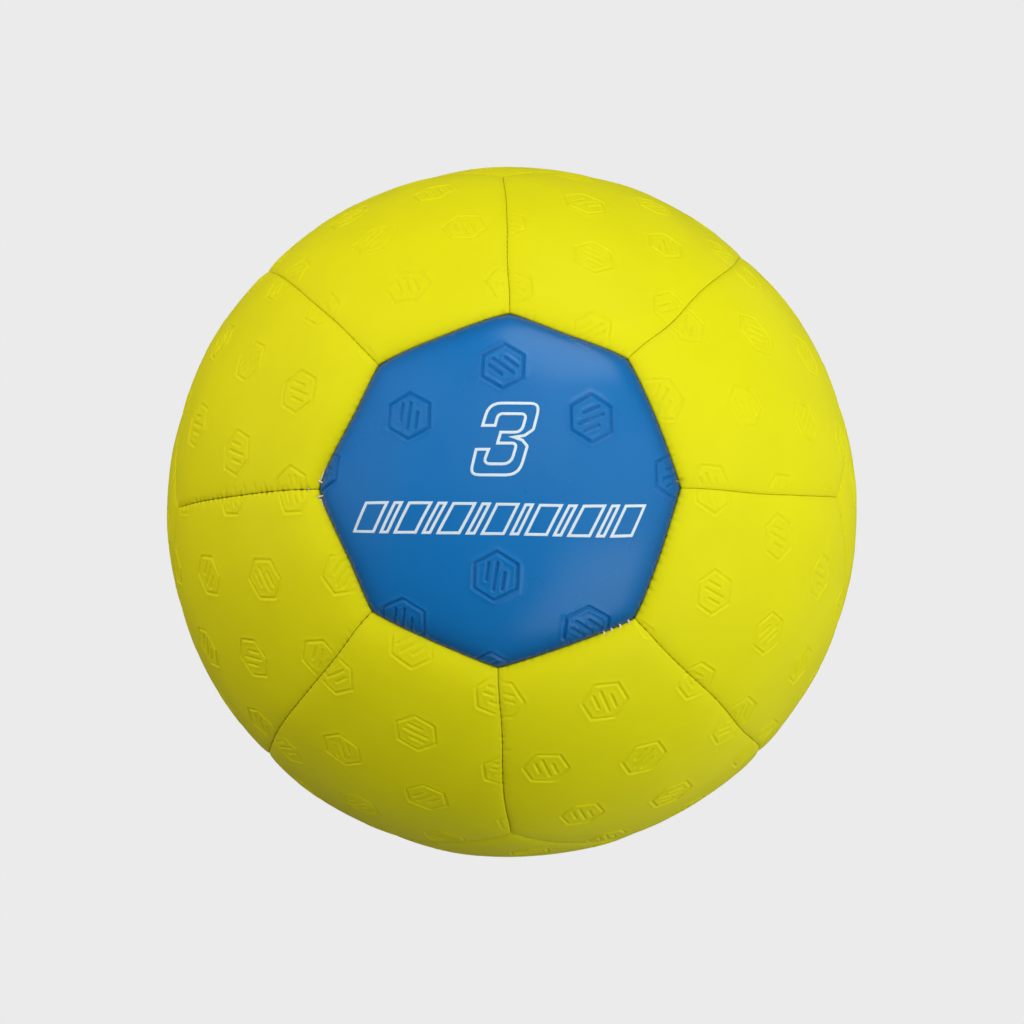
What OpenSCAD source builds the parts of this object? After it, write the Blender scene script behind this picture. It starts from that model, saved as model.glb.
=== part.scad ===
// Stitched size 3 handball: 22 cover panels sewn over foam, lining, bladder and needle valve.
// The origin is the ball's centre, +Z is up, the front octagon faces -Y and the valve is at +Y.
// The seams are great circles, so each panel is a shell cut by planes through the centre.

/* [Ball] */
// Distance round the inflated ball
girth = 590; // [575:1:605]
// Angle from the middle of an octagon to its corners
octagon_reach = 26.565; // [25:0.005:28]
// Angle from the middle of a square to its corners
square_reach = 26.565; // [25:0.005:28]

/* [Cover panels] */
// Thickness of the polyurethane skin
skin_t = 1.4; // [1:0.1:2]
// Thickness of the lip that a panel turns inwards at a seam
lip_t = 1.2; // [0.8:0.1:1.6]
// Gap between the two lips of a seam
seam_gap = 0.3; // [0.2:0.05:0.6]
// Radius of the roll from a panel's face into its lip
roll_r = 1.6; // [1:0.1:2.2]

/* [Backing] */
// Thickness of the foam under each panel
foam_t = 3; // [2:0.1:4]
// Thickness of the fabric lining under the foam
lining_t = 0.8; // [0.5:0.1:1.2]
// Thickness of the glue line between two layers
glue_t = 0.1; // [0.05:0.05:0.2]

/* [Stitching] */
// Diameter of the seam thread
thread_d = 0.7; // [0.5:0.05:0.9]
// Distance between the cross threads that are modelled, every fifth stitch of the real seam
rung_pitch = 10; // [8:0.5:14]
// Free length of thread left out at each end of a seam
seam_end = 3.2; // [2.8:0.1:5]

/* [Bladder and valve] */
// Wall of the bladder
bladder_t = 1; // [0.6:0.1:1.5]
// Gap between the linings and the inflated bladder
bladder_gap = 0.3; // [0.2:0.05:0.6]
// Diameter of the hole in the back octagon
valve_hole_d = 7; // [6.6:0.1:8]
// Diameter of the valve's neck under the cover
neck_d = 11; // [9.5:0.1:13]
// Length of the neck inside the bladder
neck_tail = 5; // [3:0.5:8]
// Diameter of the flange that is vulcanised to the bladder
flange_d = 28; // [22:1:34]
// Thickness of that flange
flange_t = 1.5; // [1:0.1:2.5]
// Depth of the valve's nose below the ball's face
nose_recess = 0.6; // [0.3:0.1:1]
// Diameter of the removable valve core
core_d = 4.6; // [4.2:0.1:5]
// Diameter of the bulb that keeps the core in the valve body
bulb_d = 6; // [5.4:0.1:7]
// Length of that bulb
bulb_len = 3; // [2:0.1:4]
// Diameter of the needle passage
needle_d = 2.2; // [1.8:0.1:2.6]
// Diameter of the funnel at the mouth of the needle passage
funnel_d = 3.2; // [2.8:0.1:3.6]

/* [Hidden] */
$fn = 72;
QUARTER = 90;
EIGHTH = QUARTER / 2;
SIDES = ["right", "top", "left", "bottom"];
COUNT = [1 : 8];

// Clearance where one moulded or cut piece seats in another
seat_gap = 0.1;
// Length by which a cutting solid runs past the face that it cuts
overrun = 1;
// Length by which the cut for a roll runs past the corner at its end
corner_overrun = 0.5;
// Share of the roll's radius that its centre stands in from the lip, which leaves a crisp edge
roll_share = 0.85;
// Thickness of a cross thread as a share of the seam thread
rung_share = 0.85;
// Depth of the funnel as a share of the width that it loses
funnel_share = 0.8;

ball_r = girth / (2 * PI);
skin_in_r = ball_r - skin_t;
foam_r = skin_in_r - glue_t;
foam_in_r = foam_r - foam_t;
lining_r = foam_in_r - glue_t;
lining_in_r = lining_r - lining_t;
bladder_r = lining_in_r - bladder_gap;
bladder_in_r = bladder_r - bladder_t;

lip_face = seam_gap / 2;
lip_back = lip_face + lip_t;
roll_in = lip_face + roll_share * roll_r;
thread_r = foam_r - foam_t / 2;
thread_off = lip_back + seat_gap + thread_d / 2;
rung_d = rung_share * thread_d;
lining_inset = lip_back + seat_gap;
foam_inset = lining_inset + thread_d + seat_gap;

nose_top = ball_r - nose_recess;
nose_d = valve_hole_d - 2 * seat_gap;
neck_hole_d = neck_d + 2 * seat_gap;
neck_top = sqrt(pow(foam_r, 2) - pow(neck_d / 2, 2));
neck_bottom = bladder_in_r - flange_t - neck_tail;
core_hole_d = core_d + 2 * seat_gap;
core_bottom = neck_bottom - seat_gap - bulb_len;
funnel_len = funnel_share * (funnel_d - needle_d);

// Direction at an angle from the front pole, turned counter-clockwise from the right-hand side
function dir(reach, turn) = [sin(reach) * cos(turn), -cos(reach), sin(reach) * sin(turn)];

// The same direction on the front half (side 1) or mirrored onto the back half (side -1)
function on_half(reach, turn, side) = dir(side > 0 ? reach : 2 * QUARTER - reach, turn);

// An octagon's corners, counter-clockwise seen from outside
function octagon(side) = [for (k = COUNT) on_half(octagon_reach, side * k * EIGHTH, side)];

// A square's corners about the side turned q quarters from the right
function square_panel(q) = [
    dir(QUARTER + square_reach, q * QUARTER),
    dir(QUARTER, q * QUARTER + square_reach),
    dir(QUARTER - square_reach, q * QUARTER),
    dir(QUARTER, q * QUARTER - square_reach)
];

// One pentagon in polar form: from an octagon corner out to the square and the halved hexagon edge
pentagon_polar = [
    [octagon_reach, 0],
    [QUARTER - square_reach, 0],
    [QUARTER, square_reach],
    [QUARTER, EIGHTH],
    [octagon_reach, EIGHTH]
];

// Corners of pentagon k of a half: odd ones as above, even ones mirrored about the diagonal seam
function pentagon(k, side) =
    let (
        hand = k % 2 == 1 ? 1 : -1,
        start = (hand > 0 ? k - 1 : k) * EIGHTH,
        last = len(pentagon_polar) - 1
    )
    [for (i = hand * side > 0 ? [0 : last] : [last : -1 : 0])
        on_half(pentagon_polar[i][0], start + hand * pentagon_polar[i][1], side)];

function unit(v) = v / norm(v);
function next(corners, i) = corners[(i + 1) % len(corners)];
function middle(corners) = unit([for (c = corners) 1] * corners);
function arc(a, b) = acos(a * b);
function arc_for(len) = len / thread_r * 2 * QUARTER / PI;

// Angles of the cross threads from the first corner of a seam, spread from its middle
function rung_angles(a, b) =
    let (
        step = arc_for(rung_pitch),
        spaces = floor((arc(a, b) - 2 * arc_for(seam_end)) / step)
    )
    [for (i = [0 : spaces]) arc(a, b) / 2 + (i - spaces / 2) * step];

// Stands children on a seam: X to its first corner, Y along it and Z to the panel on its left
module on_seam(a, b) {
    z = unit(cross(a, b));
    y = cross(z, a);
    multmatrix([
        [a.x, y.x, z.x, 0],
        [a.y, y.y, z.y, 0],
        [a.z, y.z, z.z, 0]
    ]) children();
}

// Space of a panel, with each side set in from its seam
module panel_space(corners, inset)
    intersection_for (i = [0 : len(corners) - 1])
        on_seam(corners[i], next(corners, i))
            translate([-girth / 2, -girth / 2, inset])
                cube([girth, girth, girth]);

// Ball for a panel, laid on its side where its pole would be inside the panel
module ball(r, corners)
    rotate([abs(middle(corners).z) > cos(square_reach) ? QUARTER : 0, 0, 0]) sphere(r);

// Shell between two radii, cut to a panel
module layer(corners, outer, inner, inset)
    difference() {
        intersection() {
            ball(outer, corners);
            panel_space(corners, inset);
        }
        ball(inner, corners);
    }

// Waste outside the roll along a seam of this angle
module roll_waste(span)
    rotate(-arc_for(corner_overrun))
        rotate_extrude(angle = span + 2 * arc_for(corner_overrun))
            difference() {
                translate([ball_r - roll_r, -overrun]) square([roll_r + overrun, roll_in + overrun]);
                translate([ball_r - roll_r, roll_in]) circle(roll_r);
            }

// Rolls the edges of its children from side i on, one seam at a time
module rolled(corners, i = 0) {
    if (i == len(corners)) children();
    else
        difference() {
            rolled(corners, i + 1) children();
            on_seam(corners[i], next(corners, i)) roll_waste(arc(corners[i], next(corners, i)));
        }
}

// Slit that a leather-point needle leaves through a lip
module needle_slit() {
    slit = rung_d + 2 * seat_gap;
    translate([thread_r - slit / 2, -slit / 2, -overrun]) cube([slit, slit, lip_back + 2 * overrun]);
}

// Tray of skin whose rolled edges turn in as lips
module tray(corners)
    difference() {
        rolled(corners)
            intersection() {
                ball(ball_r, corners);
                panel_space(corners, lip_face);
            }
        ball(lining_in_r, corners);
        intersection() {
            ball(skin_in_r, corners);
            panel_space(corners, lip_back);
        }
    }

// Cover panel with the needle slits through its lips
module cover(corners)
    difference() {
        tray(corners);
        for (i = [0 : len(corners) - 1])
            on_seam(corners[i], next(corners, i))
                for (t = rung_angles(corners[i], next(corners, i))) rotate(t) needle_slit();
    }

// Foam glued under a skin, set back from the lips for the thread
module foam(corners) color("#ebe6d6") layer(corners, foam_r, foam_in_r, foam_inset);

// Fabric glued under the foam, up to the lips
module lining(corners) color("#d8d2c2") layer(corners, lining_r, lining_in_r, lining_inset);

// Lockstitch of one seam: a thread behind each lip and the cross threads that join them
module stitched(a, b)
    color("#efece2") on_seam(a, b) {
        relief = arc_for(seam_end);
        for (side = [-1, 1])
            translate([0, 0, side * thread_off])
                rotate(relief)
                    rotate_extrude(angle = arc(a, b) - 2 * relief)
                        translate([thread_r, 0]) circle(d = thread_d);
        for (t = rung_angles(a, b))
            rotate(t)
                translate([thread_r, 0, -thread_off])
                    cylinder(d = rung_d, h = 2 * thread_off);
    }

// Stands children on the valve's axis, with +Z out of the ball
module on_valve() rotate([-QUARTER, 0, 0]) children();

module rod(d, from, to) translate([0, 0, from]) cylinder(d = d, h = to - from);

module blue_cover(corners) color("#1c73b9") cover(corners);
module yellow_cover(corners) color("#e5e11b") cover(corners);

module cover_octagon_back()
    difference() {
        blue_cover(octagon(-1));
        on_valve() rod(valve_hole_d, lining_in_r, ball_r + overrun);
    }

module foam_octagon_back()
    difference() {
        foam(octagon(-1));
        on_valve() rod(neck_hole_d, lining_in_r, ball_r);
    }

module lining_octagons() {
    lining(octagon(1));
    difference() {
        lining(octagon(-1));
        on_valve() rod(neck_hole_d, bladder_r, foam_r);
    }
}

module lining_squares()
    for (q = [0 : 3]) lining(square_panel(q));

module lining_pentagons()
    for (side = [-1, 1], k = COUNT) lining(pentagon(k, side));

module thread_octagon(side)
    for (i = [0 : 7]) stitched(octagon(side)[i], next(octagon(side), i));

// Seams from an octagon's corners to the front and back corners of the squares
module thread_cardinal()
    for (side = [-1, 1], q = [0 : 3])
        stitched(
            on_half(octagon_reach, q * QUARTER, side),
            on_half(QUARTER - square_reach, q * QUARTER, side)
        );

// Seams from an octagon's other corners to the equator, which halve the hexagons
module thread_diagonal()
    for (side = [-1, 1], q = [0 : 3])
        stitched(
            on_half(octagon_reach, q * QUARTER + EIGHTH, side),
            dir(QUARTER, q * QUARTER + EIGHTH)
        );

module thread_squares()
    for (q = [0 : 3], i = [0 : 3]) stitched(square_panel(q)[i], next(square_panel(q), i));

module thread_equator()
    for (q = [0 : 3], hand = [-1, 1])
        stitched(
            dir(QUARTER, q * QUARTER + hand * square_reach),
            dir(QUARTER, q * QUARTER + hand * EIGHTH)
        );

module bladder()
    color("#26262a") difference() {
        sphere(bladder_r);
        sphere(bladder_in_r);
        on_valve() rod(neck_hole_d, neck_bottom, ball_r);
    }

// Rubber body: a flange under the bladder's wall, a neck through the backing and a nose in the cover
module valve_body()
    color("#1d1d1f") difference() {
        union() {
            intersection() {
                difference() {
                    sphere(bladder_in_r);
                    sphere(bladder_in_r - flange_t);
                }
                on_valve() rod(flange_d, neck_bottom, ball_r);
            }
            on_valve() rod(neck_d, neck_bottom, neck_top);
            on_valve() rod(nose_d, neck_bottom, nose_top);
        }
        on_valve() rod(core_hole_d, neck_bottom - overrun, ball_r);
    }

// Removable plug with a bulb below the body and a funnel into its needle passage
module valve_core()
    color("#2e2e31") on_valve() difference() {
        union() {
            rod(core_d, core_bottom, nose_top);
            rod(bulb_d, core_bottom, core_bottom + bulb_len);
        }
        rod(needle_d, core_bottom - overrun, ball_r);
        translate([0, 0, nose_top - funnel_len])
            cylinder(d1 = needle_d, d2 = funnel_d, h = funnel_len);
    }

blue_cover(octagon(1));  // cover_octagon_front
cover_octagon_back();
for (q = [0 : 3])
    yellow_cover(square_panel(q));
for (k = COUNT)
    yellow_cover(pentagon(k, 1));
for (k = COUNT)
    yellow_cover(pentagon(k, -1));
foam(octagon(1));  // foam_octagon_front
foam_octagon_back();
for (q = [0 : 3])
    foam(square_panel(q));
for (k = COUNT)
    foam(pentagon(k, 1));
for (k = COUNT)
    foam(pentagon(k, -1));
lining_octagons();
lining_squares();
lining_pentagons();
thread_octagon(1);  // thread_octagon_front
thread_octagon(-1);  // thread_octagon_back
thread_cardinal();
thread_diagonal();
thread_squares();
thread_equator();
bladder();
valve_body();
valve_core();
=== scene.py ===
"""Looks of a stitched size 3 handball, fitted over its packed construction model.

Lengths are millimetres until a mesh is written, and the frame is the construction model's: the
ball's centre at the origin, +Z up, the front octagon towards -Y and the valve at +Y.
"""

import logging
import math
import random
from dataclasses import dataclass
from enum import Enum

import bmesh
import bpy
import numpy as np
from mathutils import Matrix, Vector


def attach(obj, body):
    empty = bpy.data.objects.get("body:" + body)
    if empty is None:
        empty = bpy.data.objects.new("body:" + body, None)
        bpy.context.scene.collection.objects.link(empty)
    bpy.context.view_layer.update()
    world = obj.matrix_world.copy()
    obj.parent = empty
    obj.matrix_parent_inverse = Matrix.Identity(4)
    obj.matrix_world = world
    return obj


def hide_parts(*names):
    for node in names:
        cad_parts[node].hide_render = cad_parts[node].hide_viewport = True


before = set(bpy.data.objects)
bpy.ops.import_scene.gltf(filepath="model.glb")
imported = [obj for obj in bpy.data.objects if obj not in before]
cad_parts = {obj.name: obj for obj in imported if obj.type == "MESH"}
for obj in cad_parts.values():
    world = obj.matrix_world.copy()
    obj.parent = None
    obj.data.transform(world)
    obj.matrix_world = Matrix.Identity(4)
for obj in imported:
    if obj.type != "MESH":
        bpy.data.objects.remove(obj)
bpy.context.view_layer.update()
LOG = logging.getLogger("handball")

MM = 0.001
TINY = 1e-9
BODY = "root"
SEED = 3

# The ball, and the angles from the middle of an octagon and of a square to its corners
GIRTH = 590.0
BALL_R = GIRTH / (2 * math.pi)
OCTAGON_REACH = 26.565
SQUARE_REACH = 26.565
# An octagon's corners lie further than this share of the radius from the middle plane, all others less
RIM_COSINE = math.cos(math.radians(OCTAGON_REACH)) - 0.01
# How many five-sided panels differ in their marks
PENTAGON_VARIANTS = 2
# The skin: its thickness, how deep its lips reach, and how far they stand from the seam's plane at
# their crest, on the side that meets the other lip and on the side that meets the foam
SKIN_T = 1.4
LIP_DEPTH = 5.4
LIP_TOUCH = 0.012
LIP_FACE = 0.15
LIP_BACK = 1.35
# Distance from a seam over which the nearness written to the skin falls to a third
SEAM_FADE = 1.4
# The thread: how deep its runs lie, how far from the seam's plane, and the distance of two stitches
THREAD_DEPTH = 3.0
THREAD_OFF = 1.8
STITCH_PITCH = 2.05
# Boxes of the front octagon's sheet that hold its print and so carry no marks
PRINT_CLEAR = ((-37.0, 37.0, -15.5, 0.5), (-12.5, 12.5, -2.0, 23.0))


def unit(v: np.ndarray) -> np.ndarray:
    """Scale vectors to length one.

    Args:
        v: One vector, or rows of vectors.

    Returns:
        The same vectors with length one.
    """
    return v / np.linalg.norm(v, axis=-1, keepdims=True)


def direction(reach: float, turn: float) -> np.ndarray:
    """Give a direction from the ball's centre.

    Args:
        reach: Angle from the front pole, in degrees.
        turn: Angle about the front pole from the right-hand side, counter-clockwise, in degrees.

    Returns:
        A unit vector.
    """
    r, t = math.radians(reach), math.radians(turn)
    return np.array([math.sin(r) * math.cos(t), -math.cos(r), math.sin(r) * math.sin(t)])


def smooth(x: np.ndarray, low: float, high: float) -> np.ndarray:
    """Rise smoothly between two values.

    Args:
        x: Values, one a row.
        low: Where the rise starts.
        high: Where it ends.

    Returns:
        0 up to low, 1 from high on, and a smooth step between them.
    """
    t = np.clip((x - low) / (high - low), 0, 1)
    return t * t * (3 - 2 * t)


def to_mesh(bm: bmesh.types.BMesh, name: str) -> bpy.types.Mesh:
    """Turn a bmesh into a mesh and free it.

    Args:
        bm: The bmesh.
        name: Name of the new mesh.

    Returns:
        The new mesh.
    """
    mesh = bpy.data.meshes.new(name)
    bm.to_mesh(mesh)
    bm.free()
    return mesh


def coordinates(mesh: bpy.types.Mesh) -> np.ndarray:
    """Read a mesh's points.

    Args:
        mesh: The mesh.

    Returns:
        The points, one a row.
    """
    co = np.empty(len(mesh.vertices) * 3, np.float32)
    mesh.vertices.foreach_get("co", co)
    return co.reshape(-1, 3).astype(float)


def place_points(mesh: bpy.types.Mesh, points: np.ndarray) -> None:
    """Move a mesh's points to the given rows."""
    mesh.vertices.foreach_set("co", points.astype(np.float32).ravel())


def outward(mesh: bpy.types.Mesh) -> None:
    """Turn all faces of closed pieces outward.

    Args:
        mesh: The mesh to turn.
    """
    bm = bmesh.new()
    bm.from_mesh(mesh)
    bmesh.ops.recalc_face_normals(bm, faces=bm.faces[:])
    bm.to_mesh(mesh)
    bm.free()


def halve(bm: bmesh.types.BMesh, edges: list) -> None:
    """Halve edges of a mesh of triangles and close what that opens with triangles.

    Args:
        bm: The mesh.
        edges: The edges to halve.
    """
    fresh = bm.verts.layers.int["fresh"]
    made = bmesh.ops.bisect_edges(bm, edges=edges, cuts=1)["geom_split"]
    halves = [g for g in made if isinstance(g, bmesh.types.BMVert)]
    for v in halves:
        v[fresh] = 1
    bmesh.ops.connect_verts(bm, verts=halves)
    for f in [f for f in bm.faces if len(f.verts) == 4]:
        new = [k for k, v in enumerate(f.verts) if v[fresh]]
        if len(new) == 1:
            bmesh.utils.face_split(f, f.verts[new[0]], f.verts[new[0] - 2])
    bmesh.ops.triangulate(bm, faces=[f for f in bm.faces if len(f.verts) > 3], quad_method="SHORT_EDGE")
    for v in bm.verts:
        v[fresh] = 0


class PanelKind(Enum):
    """The shapes of panel that a ball is cut from."""

    OCTAGON = "octagon"
    VALVE_OCTAGON = "valve_octagon"
    SQUARE = "square"
    PENTAGON = "pentagon"


def corners_of(kind: PanelKind) -> np.ndarray:
    """Give the corners of the first panel of a kind, counter-clockwise seen from outside.

    Args:
        kind: The panel's shape.

    Returns:
        One unit vector a row.
    """
    if kind is PanelKind.SQUARE:
        polar = [(90 + SQUARE_REACH, 0), (90, SQUARE_REACH), (90 - SQUARE_REACH, 0), (90, -SQUARE_REACH)]
    elif kind is PanelKind.PENTAGON:
        polar = [(OCTAGON_REACH, 0), (90 - SQUARE_REACH, 0), (90, SQUARE_REACH), (90, 45),
                 (OCTAGON_REACH, 45)]
    else:
        polar = [(OCTAGON_REACH, 45 * k) for k in range(8)]
    return np.array([direction(r, t) for r, t in polar])


def turned(degrees: float, mirror_z: bool = False, mirror_y: bool = False) -> np.ndarray:
    """Make the matrix that turns a panel about the front pole and mirrors it.

    Args:
        degrees: Turn about the front pole, counter-clockwise seen from the front.
        mirror_z: Mirror top to bottom before the turn.
        mirror_y: Mirror onto the back half.

    Returns:
        A 3 by 3 orthogonal matrix.
    """
    a = math.radians(degrees)
    turn = np.array([[math.cos(a), 0, -math.sin(a)], [0, 1, 0], [math.sin(a), 0, math.cos(a)]])
    return turn @ np.diag([1, -1 if mirror_y else 1, -1 if mirror_z else 1])


@dataclass(frozen=True)
class Place:
    """Where one panel of the ball sits."""

    name: str
    kind: PanelKind
    variant: int
    turn: np.ndarray

    @property
    def mirrored(self) -> bool:
        """Whether the place turns the panel's shape inside out."""
        return bool(np.linalg.det(self.turn) < 0)

    @property
    def corners(self) -> np.ndarray:
        """The panel's corners on the ball, in its shape's own order."""
        return corners_of(self.kind) @ self.turn.T


def all_places() -> list[Place]:
    """List the 22 panels with the names of the construction model.

    Returns:
        The octagons, the squares and then the pentagons.
    """
    places = [
        Place("octagon_front", PanelKind.OCTAGON, 0, turned(0)),
        Place("octagon_back", PanelKind.VALVE_OCTAGON, 0, turned(0, mirror_y=True)),
    ]
    for q, side in enumerate(("right", "top", "left", "bottom")):
        places.append(Place(f"square_{side}", PanelKind.SQUARE, 0, turned(90 * q)))
    for half, back in (("front", False), ("back", True)):
        for k in range(1, 9):
            even = k % 2 == 0
            start = 45 * (k if even else k - 1)
            variant = (k + 1) // 2 % PENTAGON_VARIANTS
            places.append(Place(f"{half}_{k}", PanelKind.PENTAGON, variant, turned(start, even, back)))
    return places


@dataclass
class Shaping:
    """How hand sewing and pressure move the skin off the regular plan.

    Each table is one ring of places about the front pole. A row is the place's turn, then how far
    it moves away from the pole and counter-clockwise, in millimetres. Random waves shift the skin
    sideways, and random bulges lift it.
    """

    corner_ring: tuple[tuple[float, float, float], ...] = (
        (0, -0.2, 0.8), (45, 0.8, 1.6), (90, 0.4, -0.8), (135, 0.5, 0.3),
        (180, 2.6, -0.1), (225, 0.6, -1.4), (270, 0.1, -1.2), (315, 1.3, 0.7))
    fork_ring: tuple[tuple[float, float, float], ...] = (
        (0, -0.9, 1.4), (90, 2.3, 2.0), (180, 4.0, 1.5), (270, 0.4, 1.5))
    middle_ring: tuple[tuple[float, float, float], ...] = (
        (0, 0.0, 0.7), (45, 0.0, 2.4), (90, 0.0, 0.4), (135, 0.0, 0.4),
        (180, 0.0, 0.7), (270, 0.0, -0.3), (315, 0.0, 1.5))
    outer_ring: tuple[tuple[float, float, float], ...] = (
        (45, 0.0, 4.4), (135, 0.0, 2.0), (225, 0.0, 1.5), (315, 0.0, 2.3))
    middle_reach: float = 50.0
    outer_reach: float = 76.0
    back_shift: float = 0.8
    near_width: float = 14.0
    middle_width: float = 20.0
    far_width: float = 24.0
    wave: float = 0.08
    wave_length: float = 21.0
    waves: int = 5
    bulge: float = 0.13
    bulge_length: float = 34.0
    bulges: int = 6

    def __post_init__(self) -> None:
        """Work out the moved corners and the waves."""
        rng = random.Random(SEED)
        rings = ((OCTAGON_REACH, self.corner_ring, self.near_width),
                 (90 - SQUARE_REACH, self.fork_ring, self.near_width),
                 (self.middle_reach, self.middle_ring, self.middle_width),
                 (self.outer_reach, self.outer_ring, self.far_width))
        self._pushes = []
        for reach, ring, width in rings:
            for turn, away, around in ring:
                self._push(reach, turn, away, around, width)
        for turn, _, _ in self.corner_ring:
            away, around = (rng.uniform(-1, 1) * self.back_shift for _ in range(2))
            self._push(180 - OCTAGON_REACH, turn, away, around, self.near_width)
        self._waves = [self._wave(rng) for _ in range(self.waves)]
        self._swells = [self._wave(rng) for _ in range(self.bulges)]

    def _push(self, reach: float, turn: float, away: float, around: float, width: float) -> None:
        """Note how one place of the regular plan moves.

        Args:
            reach: Angle from the front pole to the place, in degrees.
            turn: The place's turn about the front pole, in degrees.
            away: How far it moves away from the pole, in millimetres.
            around: How far it moves counter-clockwise, in millimetres.
            width: How far about it the skin goes along, in millimetres.
        """
        by = away * direction(reach + 90, turn) + around * direction(90, turn + 90)
        self._pushes.append((direction(reach, turn), by, width))

    @staticmethod
    def _wave(rng: random.Random) -> tuple[np.ndarray, np.ndarray, float]:
        """Pick one wave.

        Args:
            rng: Source of the draws.

        Returns:
            The wave's heading, its push and its phase.
        """
        heading = unit(np.array([rng.gauss(0, 1) for _ in range(3)]))
        push = unit(np.array([rng.gauss(0, 1) for _ in range(3)]))
        return heading, push, rng.uniform(0, 2 * math.pi)

    def moved(self, d: np.ndarray) -> np.ndarray:
        """Move directions of the regular plan to where the sewn ball has them.

        Args:
            d: Unit vectors, one a row.

        Returns:
            The moved unit vectors.
        """
        step = np.zeros_like(d)
        for at, by, width in self._pushes:
            gap = BALL_R * np.linalg.norm(d - at, axis=1, keepdims=True)
            step += np.exp(-((gap / width) ** 2)) * by
        for heading, push, phase in self._waves:
            angle = 2 * math.pi * BALL_R / self.wave_length * (d @ heading) + phase
            step += self.wave * np.sin(angle)[:, None] * push
        return unit(d + step / BALL_R)

    def swell(self, d: np.ndarray) -> np.ndarray:
        """Give how far the pressure lifts the skin.

        Args:
            d: Unit vectors, one a row.

        Returns:
            The lift at each, in millimetres.
        """
        lift = np.zeros(len(d))
        for heading, _, phase in self._swells:
            lift += np.sin(2 * math.pi * BALL_R / self.bulge_length * (d @ heading) + phase)
        return self.bulge * lift / math.sqrt(len(self._swells)) - self.bulge


@dataclass
class Seam:
    """One sewn seam, from the first of its two corners to the second."""

    start: np.ndarray
    end: np.ndarray
    rng: random.Random
    valley: float = 1.0
    gap: float = 0.0
    margin: float = 1.6
    jitter: float = 0.14
    uneven: float = 0.35
    least_pull: float = 0.35
    tightness_range: tuple[float, float] = (0.6, 1.3)
    puckers_per_mm: float = 0.05
    pucker_margin: float = 4.0
    pucker_strength: tuple[float, float] = (0.2, 0.7)
    pucker_length: tuple[float, float] = (1.6, 3.4)

    def __post_init__(self) -> None:
        """Place the stitches and the puckers."""
        self.normal = unit(np.cross(self.start, self.end))
        self.across = np.cross(self.normal, self.start)
        self.length = BALL_R * math.acos(float(np.clip(self.start @ self.end, -1, 1)))
        count = int((self.length - 2 * self.margin) / STITCH_PITCH) + 1
        self.first = self.length / 2 - (count - 1) / 2 * STITCH_PITCH
        self.stitch_at = np.array([
            self.first + k * STITCH_PITCH + self.rng.gauss(0, self.jitter) for k in range(count)
        ])
        self.pull = np.array([max(self.least_pull, self.rng.gauss(1, self.uneven)) for _ in range(count)])
        self.tightness = self.rng.uniform(*self.tightness_range)
        self.puckers = {left: self._random_puckers() for left in (True, False)}

    def _random_puckers(self) -> list[tuple[float, float, float]]:
        """Pick the small puckers on one side of the seam.

        Returns:
            The place along the seam, the depth share and the length of each.
        """
        count = int(self.length * self.puckers_per_mm + self.rng.random())
        return [
            (self.rng.uniform(self.pucker_margin, self.length - self.pucker_margin),
             self.rng.uniform(*self.pucker_strength), self.rng.uniform(*self.pucker_length))
            for _ in range(count)
        ]

    def along(self, d: np.ndarray) -> np.ndarray:
        """Give how far along the seam each direction lies, in millimetres."""
        return BALL_R * np.arctan2(d @ self.across, d @ self.start)

    def stitch_share(self, x: np.ndarray, width: float) -> np.ndarray:
        """Give how hard stitches of a half width pull at each length: about 1 at one, 0 between two."""
        k = np.clip(np.rint((x - self.first) / STITCH_PITCH).astype(int), 0, len(self.stitch_at) - 1)
        return self.pull[k] * np.exp(-(((x - self.stitch_at[k]) / width) ** 2))


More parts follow.
